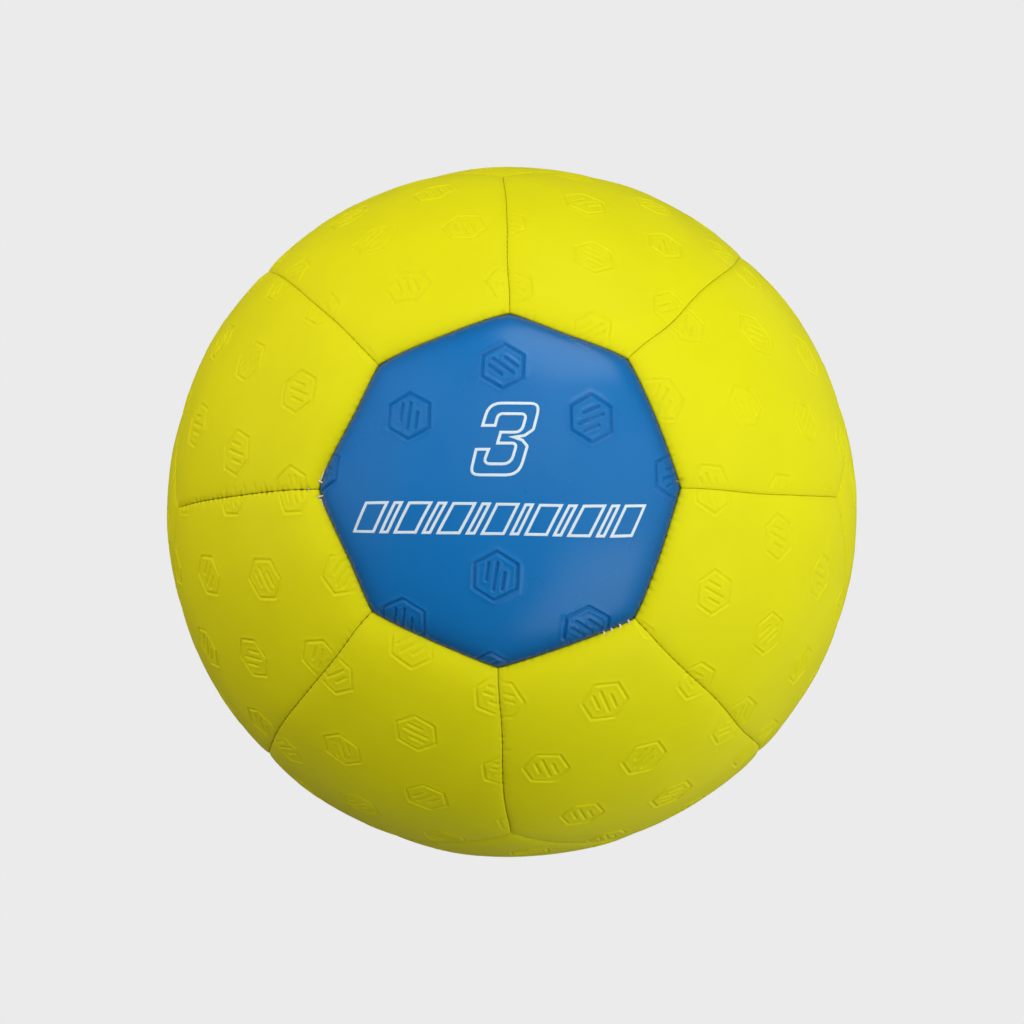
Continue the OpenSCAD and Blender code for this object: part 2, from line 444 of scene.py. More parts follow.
class Sewing:
    """All seams of the ball, each shared by the two panels that it joins."""

    octagon_valley = 3.0
    octagon_gap = 0.01
    # Turn, gap in millimetres and tightness of the seams that run out from the front octagon
    photographed = ((0, 0.0, 0.3), (45, 0.0, 0.35), (90, 0.0, 0.3), (135, 0.0, 0.45), (180, 0.025, 2.0),
                    (225, 0.02, 0.7), (270, 0.02, 0.7), (315, 0.0, 0.6))
    # Distances from the octagon, depth share and length of the puckers above the seam to the left
    left_puckers = (5.0, 13.0, 17.5, 21.4, 25.5, 29.5, 33.0)
    pucker_strength = 1.0
    pucker_length = 3.0
    # Turn of the corner, turn of the seam's other corner and pull of each hard-pulled stitch
    notches = ((0, 45, 4.0), (90, 135, 3.0), (180, 225, 4.5))

    def __init__(self, places: list[Place]) -> None:
        """Make each seam once.

        Args:
            places: The panels of the ball.
        """
        self.rng = random.Random(SEED + 1)
        self.seams: dict[tuple, Seam] = {}
        for place in places:
            corners = place.corners
            for i in range(len(corners)):
                self.find(corners[i], corners[(i + 1) % len(corners)])
        self._photographed_puckers()
        self._photographed_notches()
        self._fit()

    @staticmethod
    def key(corner: np.ndarray) -> tuple[int, ...]:
        """Name a corner by its rounded place."""
        return tuple(round(float(c) * 1000) for c in corner)

    def find(self, a: np.ndarray, b: np.ndarray) -> Seam:
        """Give the seam between two corners, and make it if it is new.

        Args:
            a: Direction of one corner.
            b: Direction of the other.

        Returns:
            The seam, which starts at the corner whose name sorts first.
        """
        (ka, a), (kb, b) = sorted([(self.key(a), a), (self.key(b), b)], key=lambda pair: pair[0])
        if (ka, kb) not in self.seams:
            self.seams[(ka, kb)] = Seam(a, b, random.Random(self.rng.random()))
        return self.seams[(ka, kb)]

    def _fit(self) -> None:
        """Sink the octagons' seams deeper than the rest, and leave the photograph's gaps open."""
        for seam in self.seams.values():
            if min(abs(seam.start[1]), abs(seam.end[1])) > RIM_COSINE:
                seam.valley, seam.gap = self.octagon_valley, self.octagon_gap
        for turn, gap, tightness in self.photographed:
            far = direction(90 if turn % 90 else 90 - SQUARE_REACH, turn)
            seam = self.find(direction(OCTAGON_REACH, turn), far)
            seam.gap, seam.tightness = gap, tightness

    def _photographed_puckers(self) -> None:
        """Add the deep puckers above the seam that runs left from the front octagon."""
        seam = self.find(direction(OCTAGON_REACH, 180), direction(90 - SQUARE_REACH, 180))
        upper = bool(seam.normal[2] > 0)
        inner = seam.start @ direction(0, 0) > seam.end @ direction(0, 0)
        for far in self.left_puckers:
            x = far if inner else seam.length - far
            seam.puckers[upper].append((x, self.pucker_strength, self.pucker_length))

    def _photographed_notches(self) -> None:
        """Open the seam at the three pulled stitches beside corners of the front octagon."""
        for turn, ahead, strength in self.notches:
            corner = direction(OCTAGON_REACH, turn)
            seam = self.find(corner, direction(OCTAGON_REACH, ahead))
            seam.pull[0 if self.key(seam.start) == self.key(corner) else -1] = strength


@dataclass
class GripMarks:
    """Marks pressed into a panel's skin: a six-sided outline round three short bars.

    A bar is given by its offset and its length, and the slant is in degrees.
    """

    pitch: float = 24.0
    across: float = 11.0
    bars: tuple[tuple[float, float], ...] = ((-2.1, 3.4), (0.0, 5.6), (2.1, 3.4))
    slant: float = 24.0
    groove: float = 0.3
    depth: float = 0.2
    rim: float = 0.45
    rim_at: float = 2.1

    def scatter(self, half: float, rng: random.Random, clear: tuple) -> None:
        """Set the marks out in staggered rows over a square of the sheet.

        Args:
            half: Half width of the square.
            rng: Source of the sheet's angle and place, and of each mark's turn.
            clear: Boxes without marks, as least and most x, then least and most y.
        """
        angle = rng.uniform(0, math.pi)
        shift = np.array([rng.uniform(0, self.pitch), rng.uniform(0, self.pitch)])
        row = self.pitch * math.sin(math.pi / 3)
        reach = int(2 * half / self.pitch) + 2
        grid = [
            ((i + (j % 2) / 2) * self.pitch, j * row)
            for j in range(-reach, reach + 1) for i in range(-reach, reach + 1)
        ]
        turn = np.array([[math.cos(angle), -math.sin(angle)], [math.sin(angle), math.cos(angle)]])
        at = np.array(grid) @ turn.T + shift
        at = at[np.abs(at).max(axis=1) < half]
        self.at = at[[not any(a <= x <= b and c <= y <= d for a, b, c, d in clear) for x, y in at]]
        self.turns = np.array([angle + math.pi / 3 * rng.randrange(6) for _ in self.at])

    def _lines(self) -> list[tuple[np.ndarray, np.ndarray]]:
        """List the straight grooves of one mark.

        Returns:
            The two ends of each, about the mark's middle.
        """
        outer = [
            np.array([math.cos(a), math.sin(a)]) * self.across / 2
            for a in (math.pi / 3 * k for k in range(6))
        ]
        lines = [(outer[k], outer[(k + 1) % 6]) for k in range(6)]
        lean = math.tan(math.radians(self.slant))
        for x, length in self.bars:
            half = length / 2
            lines.append((np.array([x - half * lean, -half]), np.array([x + half * lean, half])))
        return lines

    def distance(self, flat: np.ndarray) -> np.ndarray:
        """Measure how far points of the flat sheet lie from the nearest groove.

        Args:
            flat: Points of the sheet, one a row.

        Returns:
            Distances in millimetres.
        """
        gap = np.linalg.norm(flat[:, None, :] - self.at[None], axis=2)
        k = gap.argmin(axis=1)
        c, s = np.cos(self.turns[k]), np.sin(self.turns[k])
        local = flat - self.at[k]
        local = np.stack([c * local[:, 0] + s * local[:, 1], -s * local[:, 0] + c * local[:, 1]], axis=1)
        best = np.full(len(flat), np.inf)
        for a, b in self._lines():
            t = np.clip((local - a) @ (b - a) / ((b - a) @ (b - a)), 0, 1)
            best = np.minimum(best, np.linalg.norm(local - a - t[:, None] * (b - a), axis=1))
        return best

    def dip(self, flat: np.ndarray) -> np.ndarray:
        """Give how deep the marks sink the skin, less than zero on the low rim beside each groove."""
        x = self.distance(flat) / self.groove
        return self.depth * (np.exp(-x * x) - self.rim * np.exp(-((x - self.rim_at) ** 2)))


@dataclass
class PanelForm:
    """One shape of cover panel as a closed shell with lips, before it is put in its places."""

    kind: PanelKind
    variant: int
    cells: int = 16
    face_inset: float = 2.6
    roll: float = 0.35
    roll_depth: float = 0.26
    # Insets of the face's last rows, angles round the roll, and depth and share of the dips on the lip
    face_rows: tuple[float, ...] = (1.8, 1.1)
    roll_angles: tuple[float, ...] = (90.0, 58.0, 28.0, 0.0)
    lip_rows: tuple[tuple[float, float], ...] = ((1.8, 0.7), (2.8, 0.4), (LIP_DEPTH, 0.0))
    # The valve's hole, radius and depth of each row down it, and radius of the first row round it
    hole_r: float = 3.5
    hole_rows: tuple[tuple[float, float], ...] = ((3.9, 0.02), (3.62, 0.12), (3.5, 0.4), (3.5, SKIN_T))
    first_ring: float = 4.55
    sheet_half: float = 60.0
    sheet_up: tuple[float, float, float] = (0.3, 0.2, 0.9)
    weld: float = 0.001
    # The longest edge where nothing is near, then pairs of a reach and the longest edge within it
    base_edge: float = 2.6
    seam_edges: tuple[tuple[float, float], ...] = ((8.0, 1.6), (5.0, 0.95), (3.6, 0.6))
    groove_edges: tuple[tuple[float, float], ...] = ((2.2, 1.4), (1.25, 0.72), (0.7, 0.4))
    hole_edge: tuple[float, float] = (1.3, 0.5)
    # The longest edge on the lips, what is added to the face's inset to take in its rim, and how deep
    # the lips count; then how near its back and how deep a lip is hidden and left coarse
    lip_edge: float = 0.52
    lip_margin: float = 0.02
    lip_reach: float = 1.9
    back_margin: float = 0.1
    back_start: float = 0.9
    # What a run across the seam counts for on the lips, and how deep the face and the hole's rim reach
    across_weight: float = 0.5
    face_depth: float = 0.1
    hole_depth: float = 1.0
    rounds: int = 6

    def __post_init__(self) -> None:
        """Work out the panel's planes and build its mesh."""
        self.corners = corners_of(self.kind)
        self.count = len(self.corners)
        ahead = np.roll(self.corners, -1, axis=0)
        self.normals = unit(np.cross(self.corners, ahead))
        self.middle = unit(self.corners.sum(axis=0))
        front = self.kind is PanelKind.OCTAGON
        side = unit(np.cross((0.0, 0.0, 1.0) if front else self.sheet_up, -self.middle))
        self.sheet_axes = np.stack([side, np.cross(side, self.middle)])
        self.marks = GripMarks()
        clear = PRINT_CLEAR if front else ()
        self.marks.scatter(self.sheet_half, random.Random(f"{self.kind.value}{self.variant}"), clear)
        self.mesh = self._build()

    @property
    def holed(self) -> bool:
        """Whether the valve's hole goes through this panel."""
        return self.kind is PanelKind.VALVE_OCTAGON

    def flat(self, d: np.ndarray) -> np.ndarray:
        """Lay directions out on the flat sheet about the panel's middle.

        Args:
            d: Unit vectors, one a row.

        Returns:
            Points of the sheet in millimetres, one a row.
        """
        tangent = d @ self.sheet_axes.T
        length = np.linalg.norm(tangent, axis=1, keepdims=True)
        angle = np.arctan2(length, (d @ self.middle)[:, None])
        return BALL_R * tangent / np.maximum(length, TINY) * angle

    def _corner(self, i: int, inset: float, radius: float) -> np.ndarray:
        """Give the point at a corner that lies the same inset from both its seams.

        Args:
            i: Number of the corner.
            inset: Distance from the planes of both seams.
            radius: Distance from the ball's centre.

        Returns:
            The point, in millimetres.
        """
        n1, n2 = self.normals[i - 1], self.normals[i % self.count]
        base = inset * (n1 + n2) / (1 + n1 @ n2)
        up = unit(np.cross(n1, n2))
        up *= np.sign(up @ self.corners[i % self.count])
        return base + up * math.sqrt(radius ** 2 - base @ base)

    def _arc(self, i: int, inset: float, radius: float) -> tuple[np.ndarray, np.ndarray, np.ndarray, float]:
        """Give the arc that follows a side at an inset.

        Args:
            i: Number of the side.
            inset: Distance from the seam's plane.
            radius: Distance from the ball's centre.

        Returns:
            The arc's centre, the vector from there to its start, the one square to that, and its
            sweep in radians.
        """
        a, b = self._corner(i, inset, radius), self._corner(i + 1, inset, radius)
        hub = inset * self.normals[i]
        e1 = a - hub
        e2 = np.cross(self.normals[i], e1)
        return hub, e1, e2, math.atan2((b - hub) @ e2, (b - hub) @ e1)

    def _rim(self, i: int, share: float, inset: float, depth: float) -> Vector:
        """Give a point along a side.

        Args:
            i: Number of the side.
            share: Share of the way from its first corner to its second.
            inset: Distance from the seam's plane.
            depth: Depth below the ball's face.

        Returns:
            The point, in millimetres.
        """
        hub, e1, e2, sweep = self._arc(i, inset, BALL_R - depth)
        sweep *= share
        return Vector(hub + math.cos(sweep) * e1 + math.sin(sweep) * e2)

    def _spot(self, co: Vector, inset: float) -> tuple[int, float]:
        """Find where along the rim a point lies.

        Args:
            co: The point, in millimetres.
            inset: The rim's distance from the seams' planes.

        Returns:
            The number of the side, and the share of the way along it.
        """
        p = np.array(co)
        i = int(np.argmin(np.abs(unit(p) @ self.normals.T * BALL_R - inset)))
        hub, e1, e2, sweep = self._arc(i, inset, float(np.linalg.norm(p)))
        return i, math.atan2((p - hub) @ e2, (p - hub) @ e1) / sweep

    def _ring(self, co: Vector, radius: float, depth: float) -> Vector:
        """Give the point of a ring round the valve's hole that lies beside a point.

        Args:
            co: The point.
            radius: The ring's radius along the ball's face.
            depth: The ring's depth below that face.

        Returns:
            The ring's point, in millimetres.
        """
        d = unit(np.array(co))
        out = unit(d - (d @ self.middle) * self.middle)
        angle = radius / BALL_R
        return Vector((math.cos(angle) * self.middle + math.sin(angle) * out) * (BALL_R - depth))

    def _patch(self, bm: bmesh.types.BMesh, depth: float) -> tuple[list, list]:
        """Make one face of the shell as a grid of quads.

        Args:
            bm: Mesh to add to.
            depth: Depth of the face below the ball's.

        Returns:
            The edges round the rim, and the edges round the valve's hole.
        """
        corner = [bm.verts.new(self._rim(i, 0.0, self.face_inset, depth)) for i in range(self.count)]
        half = [bm.verts.new(self._rim(i, 0.5, self.face_inset, depth)) for i in range(self.count)]
        if self.holed:
            ring = [bm.verts.new(self._ring(v.co, self.first_ring, depth)) for v in corner]
            ring_half = [bm.verts.new(self._ring(v.co, self.first_ring, depth)) for v in half]
            for i in range(self.count):
                bm.faces.new((ring_half[i - 1], half[i - 1], corner[i], ring[i]))
                bm.faces.new((ring[i], corner[i], half[i], ring_half[i]))
        else:
            hub = bm.verts.new(Vector(self.middle * (BALL_R - depth)))
            for i in range(self.count):
                bm.faces.new((hub, half[i - 1], corner[i], half[i]))
        bmesh.ops.subdivide_edges(bm, edges=bm.edges[:], cuts=self.cells - 1, use_grid_fill=True)
        rim, hole = [], []
        for v in bm.verts:
            v.co = v.co.normalized() * (BALL_R - depth)
        for e in (e for e in bm.edges if e.is_boundary):
            away = math.acos(min(1.0, unit(np.array(e.verts[0].co)) @ self.middle)) * BALL_R
            (hole if self.holed and away < 2 * self.hole_r else rim).append(e)
        for v in {v for e in rim for v in e.verts}:
            i, share = self._spot(v.co, self.face_inset)
            v.co = self._rim(i, share, self.face_inset, depth)
        for v in {v for e in hole for v in e.verts}:
            v.co = self._ring(v.co, self.first_ring, depth)
        return rim, hole

    def _grow(self, bm: bmesh.types.BMesh, edges: list, inset: float, rows: list,
              outer: bmesh.types.BMLayerItem) -> None:
        """Extrude the rim row by row towards the seam and down its lip.

        Args:
            bm: The panel's mesh.
            edges: Edges of the rim that the rows start from.
            inset: Inset of that rim.
            rows: Inset, depth and share of the face's own dips for each row.
            outer: The layer that holds those shares.
        """
        for next_inset, depth, share_of_face in rows:
            spots = {v: self._spot(v.co, inset) for e in edges for v in e.verts}
            made = bmesh.ops.extrude_edge_only(bm, edges=edges)["geom"]
            edges = [g for g in made if isinstance(g, bmesh.types.BMEdge) and g.is_boundary]
            for v in {v for e in edges for v in e.verts}:
                source = next(e.other_vert(v) for e in v.link_edges if e.other_vert(v) in spots)
                i, share = spots[source]
                v.co = self._rim(i, share, next_inset, depth)
                v[outer] = share_of_face
            inset = next_inset

    def _bore(self, bm: bmesh.types.BMesh, edges: list, rows: list,
              outer: bmesh.types.BMLayerItem) -> None:
        """Extrude the valve's hole row by row down through the skin.

        Args:
            bm: The panel's mesh.
            edges: Edges round the hole that the rows start from.
            rows: Radius and depth of each row.
            outer: The layer that holds the shares of the face's own dips.
        """
        for radius, depth in rows:
            made = bmesh.ops.extrude_edge_only(bm, edges=edges)["geom"]
            edges = [g for g in made if isinstance(g, bmesh.types.BMEdge) and g.is_boundary]
            for v in {v for e in edges for v in e.verts}:
                v.co = self._ring(v.co, radius, depth)
                v[outer] = 1.0 if depth < SKIN_T else 0.0

    def _half_shell(self, depth: float, rows: list, hole_rows: list) -> bpy.types.Mesh:
        """Make one side of the shell, from its face to the foot of its lips.

        Args:
            depth: Depth of the face below the ball's.
            rows: Rows from the face's rim to the lip's foot.
            hole_rows: Rows down the valve's hole.

        Returns:
            A mesh that is open along the lip's foot.
        """
        bm = bmesh.new()
        outer = bm.verts.layers.float.new("outer")
        rim, hole = self._patch(bm, depth)
        for v in bm.verts:
            v[outer] = 1.0 if depth == 0 else 0.0
        self._grow(bm, rim, self.face_inset, rows, outer)
        if hole:
            self._bore(bm, hole, hole_rows, outer)
        if depth > 0:
            bmesh.ops.reverse_faces(bm, faces=bm.faces[:])
        return to_mesh(bm, "half_shell")

    def _build(self) -> bpy.types.Mesh:
        """Build the closed shell and refine it where it carries detail.

        Returns:
            The shell's mesh, in millimetres on the regular ball.
        """
        rows = [(s, 0.0, 1.0) for s in self.face_rows]
        for degrees in self.roll_angles:
            a = math.radians(degrees)
            inset = LIP_TOUCH + self.roll * (1 - math.cos(a))
            rows.append((inset, self.roll_depth * (1 - math.sin(a)), 1.0))
        rows += [(LIP_FACE, depth, share) for depth, share in self.lip_rows]
        inner = [(LIP_BACK, SKIN_T, 0.0), (LIP_BACK, LIP_DEPTH, 0.0), (LIP_FACE, LIP_DEPTH, 0.0)]
        bm = bmesh.new()
        for half in (self._half_shell(0.0, rows, list(self.hole_rows)),
                     self._half_shell(SKIN_T, inner, [self.hole_rows[-1]])):
            bm.from_mesh(half)
            bpy.data.meshes.remove(half)
        bmesh.ops.remove_doubles(bm, verts=bm.verts[:], dist=self.weld)
        bmesh.ops.triangulate(bm, faces=bm.faces[:])
        self._refine(bm)
        return to_mesh(bm, f"form_{self.kind.value}_{self.variant}")

    def _too_long(self, a: np.ndarray, b: np.ndarray) -> np.ndarray:
        """Say which edges are too long for the detail that they carry.

        Args:
            a: First ends, one a row.
            b: Second ends.

        Returns:
            One truth value an edge.
        """
        mid, edge = (a + b) / 2, b - a
        radius = np.linalg.norm(mid, axis=1)
        d = mid / radius[:, None]
        insets = d @ self.normals.T * BALL_R
        near = insets.argmin(axis=1)
        inset = insets[np.arange(len(mid)), near]
        normal = self.normals[near]
        run = np.cross(normal, d)
        along = np.abs((edge * run).sum(axis=1))
        length = np.linalg.norm(edge, axis=1)
        rest = np.sqrt(np.maximum(length ** 2 - along ** 2, 0))
        seam_length = np.hypot(along, self.across_weight * rest)
        depth = BALL_R - radius
        face = depth < self.face_depth
        limit = np.full(len(mid), self.base_edge)
        for reach, longest in self.seam_edges:
            limit[face & (inset < reach)] = longest
        groove = np.where(face, self.marks.distance(self.flat(d)), np.inf)
        for reach, longest in self.groove_edges:
            limit = np.where(groove < reach, np.minimum(limit, longest), limit)
        if self.holed:
            reach, longest = self.hole_edge
            ring = np.abs(np.arccos(np.clip(d @ self.middle, -1, 1)) * BALL_R - self.hole_r)
            limit = np.where((ring < reach) & (depth < self.hole_depth), longest, limit)
        # The lips need short edges along the seam only, and the skin's hidden back needs none
        lip = (inset < self.face_inset + self.lip_margin) & (depth < self.lip_reach)
        lip &= ~((inset > LIP_BACK - self.back_margin) & (depth > self.back_start))
        return np.where(lip, seam_length > self.lip_edge, length > limit)

    def _refine(self, bm: bmesh.types.BMesh) -> None:
        """Halve edges until each suits what it carries.

        Args:
            bm: The panel's mesh.
        """
        probe = bpy.data.meshes.new("probe")
        bm.verts.layers.int.new("fresh")
        for _ in range(self.rounds):
            bm.to_mesh(probe)
            ends = np.empty(len(probe.edges) * 2, np.int32)
            probe.edges.foreach_get("vertices", ends)
            co = coordinates(probe)
            long = np.flatnonzero(self._too_long(co[ends[0::2]], co[ends[1::2]]))
            if not len(long):
                break
            bm.edges.ensure_lookup_table()
            halve(bm, [bm.edges[i] for i in long])
        bpy.data.meshes.remove(probe)

    def read(self) -> tuple[np.ndarray, np.ndarray]:
        """Read the form's mesh.

        Returns:
            Its points, and how much of the face's dips each one takes, from 0 to 1.
        """
        share = np.empty(len(self.mesh.vertices), np.float32)
        self.mesh.attributes["outer"].data.foreach_get("value", share)
        return coordinates(self.mesh), share.astype(float)


@dataclass
class CoverPanel:
    """One cover panel sewn into the ball.

    Towards a seam the skin falls by the pillow and the crown, and beside an octagon it rises first.
    Each stitch sinks a dimple and pulls the skin off the seam, and a pucker is a fold that runs out
    from it. Depths, reaches and widths are millimetres, and emboss scales the marks.
    """

    place: Place
    form: PanelForm
    sewing: Sewing
    shaping: Shaping
    lift: float = 0.0
    pillow: float = 0.3
    pillow_reach: float = 1.5
    crown: float = 0.32
    crown_reach: float = 5.0
    rise: float = 0.7
    rise_reach: float = 9.0
    corner_blend: float = 4.0
    sewn_reach: float = 5.0
    end_fade: tuple[float, float] = (0.3, 1.6)
    dimple: float = 0.17
    dimple_width: float = 0.38
    dimple_reach: float = 0.75
    pull: float = 0.08
    pull_reach: float = 0.8
    pucker: float = 0.22
    pucker_width: float = 0.42
    pucker_start: tuple[float, float] = (-0.5, 0.4)
    emboss: float = 1.05
    emboss_fade: tuple[float, float] = (0.5, 1.6)
    face_depth: float = 0.05

    def relief(self, base: np.ndarray, on_face: np.ndarray) -> tuple[np.ndarray, np.ndarray, np.ndarray]:
        """Work out how the sewing and the embossing shape the skin.

        Args:
            base: Directions in the form's own frame, one a row.
            on_face: Whether each lies on the face, which is embossed.

        Returns:
            How deep the skin sinks, how far it shifts sideways, and the distance from the nearest
            seam, all in millimetres.
        """
        d = base @ self.place.turn.T
        corners = self.place.corners
        normals = self.form.normals @ self.place.turn.T
        dip = np.zeros(len(d))
        edge, slope = np.zeros(len(d)), np.zeros(len(d))
        shift = np.zeros_like(d)
        nearest = np.full(len(d), np.inf)
        for i in range(self.form.count):
            inset = d @ normals[i] * BALL_R
            nearest = np.minimum(nearest, inset)
            seam = self.sewing.find(corners[i], corners[(i + 1) % self.form.count])
            edge += np.exp(-self.corner_blend * np.maximum(inset, 0) / self.pillow_reach)
            slope += (seam.valley * np.exp(-np.maximum(inset, 0) / self.crown_reach)) ** self.corner_blend
            if seam.valley > 1:
                part = np.maximum(inset, 0) / self.rise_reach
                dip -= self.rise * part * np.exp(1 - part)
            near = np.flatnonzero(inset < self.sewn_reach)
            sunk, open_by = self._sewn(seam, seam.along(d[near]), inset[near], normals[i])
            dip[near] += sunk
            shift[near] += open_by[:, None] * normals[i]
        dip += self.pillow * edge ** (1 / self.corner_blend) + self.crown * slope ** (1 / self.corner_blend)
        marks = self.emboss * self.form.marks.dip(self.form.flat(base))
        marks *= smooth(nearest, *self.emboss_fade) * on_face
        return dip + marks - self.lift - self.shaping.swell(d), shift, nearest

    def _sewn(self, seam: Seam, x: np.ndarray, inset: np.ndarray,
              normal: np.ndarray) -> tuple[np.ndarray, np.ndarray]:
        """Work out what the stitches and the puckers of one seam do to the skin beside it.

        Args:
            seam: The seam.
            x: Lengths along it.
            inset: Distances from its plane.
            normal: The plane's normal, which points to this panel's side.

        Returns:
            How deep the skin sinks, and how far it is pulled from the seam, in millimetres.
        """
        stitch = seam.stitch_share(x, self.dimple_width)
        stitch *= smooth(x, *self.end_fade) * smooth(seam.length - x, *self.end_fade) * seam.tightness
        sunk = self.dimple * stitch * np.exp(-((inset / self.dimple_reach) ** 2))
        for at, strength, length in seam.puckers[bool(seam.normal @ normal > 0)]:
            ridge = np.exp(-(((x - at) / self.pucker_width) ** 2))
            fade = smooth(inset, *self.pucker_start) * (1 - smooth(inset, length / 2, length))
            sunk += self.pucker * strength * ridge * fade
        return sunk, (self.pull * stitch + seam.gap) * np.exp(-((inset / self.pull_reach) ** 2))

    def points(self) -> tuple[np.ndarray, np.ndarray]:
        """Work out where the form's points lie on the sewn ball.

        Returns:
            The points in metres, and how near each lies to a seam, from 0 to 1.
        """
        co, share = self.form.read()
        radius = np.linalg.norm(co, axis=1)
        base = co / radius[:, None]
        depth = BALL_R - radius
        dip, shift, nearest = self.relief(base, depth < self.face_depth)
        d = base @ self.place.turn.T
        moved = unit(self.shaping.moved(d) + share[:, None] * shift / BALL_R)
        closeness = np.exp(-np.maximum(nearest, 0) / SEAM_FADE) * share
        return moved * (BALL_R - depth - share * dip)[:, None] * MM, closeness

    def above(self, base: np.ndarray, height: np.ndarray) -> np.ndarray:
        """Find points above the finished skin.

        Args:
            base: Directions in the form's own frame, one a row.
            height: Height above the skin at each, in millimetres.

        Returns:
            The points in metres.
        """
        dip, shift, _ = self.relief(base, np.ones(len(base)))
        moved = unit(self.shaping.moved(base @ self.place.turn.T) + shift / BALL_R)
        return moved * (BALL_R - dip + height)[:, None] * MM

    def make(self, finish: "Finish") -> bpy.types.Object:
        """Make the panel's object.

        Args:
            finish: The skin's finish.

        Returns:
            The panel, riding on the ball's body.
        """
        mesh = self.form.mesh.copy()
        mesh.name = f"skin_{self.place.name}"
        co, closeness = self.points()
        place_points(mesh, co)
        # Nearness to the seams, which the blue finish turns into painted shade and the yellow into dirt
        seam = mesh.attributes.new("seam_near", "FLOAT", "POINT")
        seam.data.foreach_set("value", closeness.astype(np.float32))
        mesh.attributes.remove(mesh.attributes["outer"])
        if self.place.mirrored:
            mesh.flip_normals()
        return add_piece(mesh, finish, [f"cover_{self.place.name}"])


# The octagons stand fuller than their neighbours and are embossed deeper
OCTAGON_SHAPE = {"lift": 1.8, "pillow": 0.4, "pillow_reach": 2.0, "crown": 0.88, "crown_reach": 6.0,
                 "rise": 0.0, "emboss": 2.3}


def tube(sides: int, rings: int) -> bpy.types.Mesh:
    """Make a plain round bar of radius one, from z = -1 to z = 1, to be bent into a thread.

    Args:
        sides: How many sides it has.
        rings: How many rings of points, with those at its ends.

    Returns:
        The bar's mesh.
    """
    bm = bmesh.new()
    bmesh.ops.create_cone(bm, cap_ends=True, segments=sides, radius1=1.0, radius2=1.0, depth=2.0)
    upright = [e for e in bm.edges if abs(e.verts[0].co.z - e.verts[1].co.z) > 1]
    bmesh.ops.subdivide_edges(bm, edges=upright, cuts=rings - 2)
    bmesh.ops.triangulate(bm, faces=bm.faces[:])
    return to_mesh(bm, "tube")


@dataclass
class Stitching:
    """The thread of one kind of seam: a crossing at each stitch, and a run behind each lip."""

    name: str
    seams: list[Seam]
    shaping: Shaping
    radius: float = 0.33
    rise: float = 0.2
    rise_range: tuple[float, float] = (0.6, 1.1)
    lean: float = 0.25
    slack_rise: float = 1.58
    slack_thickness: float = 0.8
    sides: int = 6
    crossing_rings: int = 7
    run_rings: int = 16
    # Places of slack stitches: angle from the front pole, turn about it, and reach in millimetres
    slack_spots: tuple[tuple[float, float, float], ...] = ((26.6, 180.0, 2.9), (26.6, 308.0, 4.4))

    def _crossings(self, seam: Seam, bar: np.ndarray) -> np.ndarray:
        """Bend the bar over each stitch of a seam, from behind one lip to behind the other.

        Args:
            seam: The seam.
            bar: Points of the plain bar.

        Returns:
            The points of all crossings, in metres.
        """
        at = seam.stitch_at[:, None]
        middle = np.cos(at / BALL_R) * seam.start + np.sin(at / BALL_R) * seam.across
        slack = np.zeros(len(middle), bool)
        for reach, turn, near in self.slack_spots:
            slack |= np.linalg.norm(middle - direction(reach, turn), axis=1) * BALL_R < near
        rise = np.where(slack, self.slack_rise, self.rise * np.clip(seam.pull, *self.rise_range))
        t = bar[None, :, 2]
        thick = self.radius * np.where(slack, self.slack_thickness, 1.0)[:, None]
        x = at + thick * bar[None, :, 0] + self.lean * t
        depth = THREAD_DEPTH - rise[:, None] * (1 - t * t) - thick * bar[None, :, 1]
        return self._place(seam, x.ravel(), np.broadcast_to(THREAD_OFF * t, x.shape).ravel(), depth.ravel())

    def _runs(self, seam: Seam, bar: np.ndarray) -> np.ndarray:
        """Lay the bar along both sides of a seam, behind its lips.

        Args:
            seam: The seam.
            bar: Points of the plain bar.

        Returns:
            The points of both runs, in metres.
        """
        x = seam.length / 2 + bar[:, 2] * (seam.length / 2 - seam.margin)
        sides = [
            self._place(seam, x, side * (THREAD_OFF + self.radius * bar[:, 0]),
                        THREAD_DEPTH - self.radius * bar[:, 1])
            for side in (-1, 1)
        ]
        return np.concatenate(sides)

    def _place(self, seam: Seam, x: np.ndarray, across: np.ndarray, depth: np.ndarray) -> np.ndarray:
        """Find points beside a seam.

        Args:
            seam: The seam.
            x: Lengths along it, one a point.
            across: Offsets across it.
            depth: Depths below the ball's face.

        Returns:
            The points in metres.
        """
        a = (x / BALL_R)[:, None]
        d = unit(np.cos(a) * seam.start + np.sin(a) * seam.across + across[:, None] / BALL_R * seam.normal)
        return self.shaping.moved(d) * (BALL_R - depth)[:, None] * MM

    def make(self, finish: "Finish") -> bpy.types.Object:
        """Make the thread of all seams of this kind.

        Args:
            finish: The thread's finish.

        Returns:
            The stitching, riding on the ball's body.
        """
        crossing, run = tube(self.sides, self.crossing_rings), tube(self.sides, self.run_rings)
        bm = bmesh.new()
        parts = []
        for seam in self.seams:
            for _ in seam.stitch_at:
                bm.from_mesh(crossing)
            for _ in range(2):
                bm.from_mesh(run)
            parts += [self._crossings(seam, coordinates(crossing)), self._runs(seam, coordinates(run))]
        mesh = to_mesh(bm, f"stitching_{self.name}")
        place_points(mesh, np.concatenate(parts))
        for bar in (crossing, run):
            bpy.data.meshes.remove(bar)
        outward(mesh)
        return add_piece(mesh, finish, [f"thread_{self.name}"])


